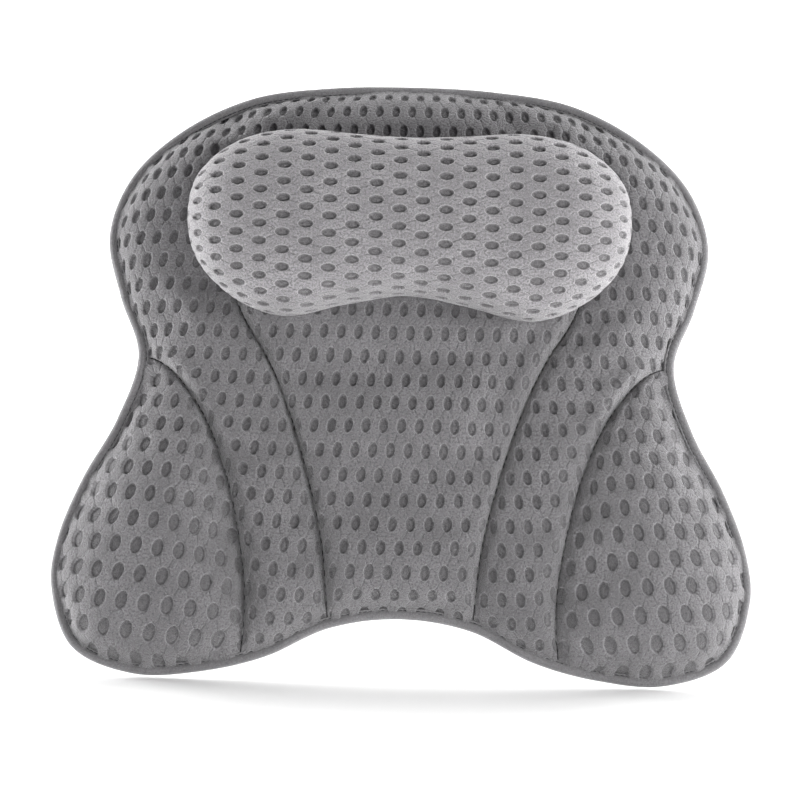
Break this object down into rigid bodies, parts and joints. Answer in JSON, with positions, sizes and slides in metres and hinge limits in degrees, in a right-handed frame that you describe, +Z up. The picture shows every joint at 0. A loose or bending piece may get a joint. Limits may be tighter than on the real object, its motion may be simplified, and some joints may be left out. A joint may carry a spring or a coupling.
{
  "type": "bath pillow",
  "caption": "Padded bath pillow: a quilted butterfly back panel in grey air mesh, a raised neck cushion and suction cups on its back.",
  "frame": {"origin": "on the bath wall, at the centre suction cup's axis", "axes": "+Z up, the front faces -Y and leans back by 20 degrees, +X to the right seen from the front"},
  "size_m": [0.4206, 0.1364, 0.3448],
  "materials": {
    "panel_mesh": "matt air mesh",
    "head_mesh": "matt air mesh",
    "binding_tape": "brushed tape",
    "rear_mesh": "fine mesh",
    "spacer_knit": "open knit",
    "foam": "open-cell foam",
    "cup_vinyl": "clear soft vinyl",
    "eyelet_plastic": "satin moulded"
  },
  "bodies": {
    "pillow": {"head_cushion_cover": "head_mesh", "head_cushion_base": "head_mesh", "head_cushion_filling": "foam", "arch_cover": "panel_mesh", "centre_cover": "panel_mesh", "right_wing_cover": "panel_mesh", "left_wing_cover": "panel_mesh", "arch_pad": "foam", "centre_pad": "foam", "right_wing_pad": "foam", "left_wing_pad": "foam", "spacer_layer": "spacer_knit", "rear_cover": "rear_mesh", "edge_binding": "binding_tape", "eyelet_center": "eyelet_plastic", "washer_center": "eyelet_plastic", "eyelet_upper_left": "eyelet_plastic", "washer_upper_left": "eyelet_plastic", "eyelet_upper_right": "eyelet_plastic", "washer_upper_right": "eyelet_plastic", "eyelet_middle_left": "eyelet_plastic", "washer_middle_left": "eyelet_plastic", "eyelet_middle_right": "eyelet_plastic", "washer_middle_right": "eyelet_plastic", "eyelet_lower_left": "eyelet_plastic", "washer_lower_left": "eyelet_plastic", "eyelet_lower_right": "eyelet_plastic", "washer_lower_right": "eyelet_plastic"},
    "cup_center": {"suction_cup_center": "cup_vinyl"},
    "cup_upper_left": {"suction_cup_upper_left": "cup_vinyl"},
    "cup_upper_right": {"suction_cup_upper_right": "cup_vinyl"},
    "cup_middle_left": {"suction_cup_middle_left": "cup_vinyl"},
    "cup_middle_right": {"suction_cup_middle_right": "cup_vinyl"},
    "cup_lower_left": {"suction_cup_lower_left": "cup_vinyl"},
    "cup_lower_right": {"suction_cup_lower_right": "cup_vinyl"}
  },
  "joints": [
    {"name": "cup_center_spin", "type": "hinge", "parent": "pillow", "child": "cup_center", "pos_m": [0, 0, 0], "axis": [0, -0.9397, 0.342], "continuous": true},
    {"name": "cup_upper_left_spin", "type": "hinge", "parent": "pillow", "child": "cup_upper_left", "pos_m": [-0.1008, 0.03881, 0.10662], "axis": [0, -0.9397, 0.342], "continuous": true},
    {"name": "cup_upper_right_spin", "type": "hinge", "parent": "pillow", "child": "cup_upper_right", "pos_m": [0.1008, 0.03881, 0.10662], "axis": [0, -0.9397, 0.342], "continuous": true},
    {"name": "cup_middle_left_spin", "type": "hinge", "parent": "pillow", "child": "cup_middle_left", "pos_m": [-0.1113, 0, 0], "axis": [0, -0.9397, 0.342], "continuous": true},
    {"name": "cup_middle_right_spin", "type": "hinge", "parent": "pillow", "child": "cup_middle_right", "pos_m": [0.1113, 0, 0], "axis": [0, -0.9397, 0.342], "continuous": true},
    {"name": "cup_lower_left_spin", "type": "hinge", "parent": "pillow", "child": "cup_lower_left", "pos_m": [-0.147, -0.04131, -0.1135], "axis": [0, -0.9397, 0.342], "continuous": true},
    {"name": "cup_lower_right_spin", "type": "hinge", "parent": "pillow", "child": "cup_lower_right", "pos_m": [0.147, -0.04131, -0.1135], "axis": [0, -0.9397, 0.342], "continuous": true}
  ]
}
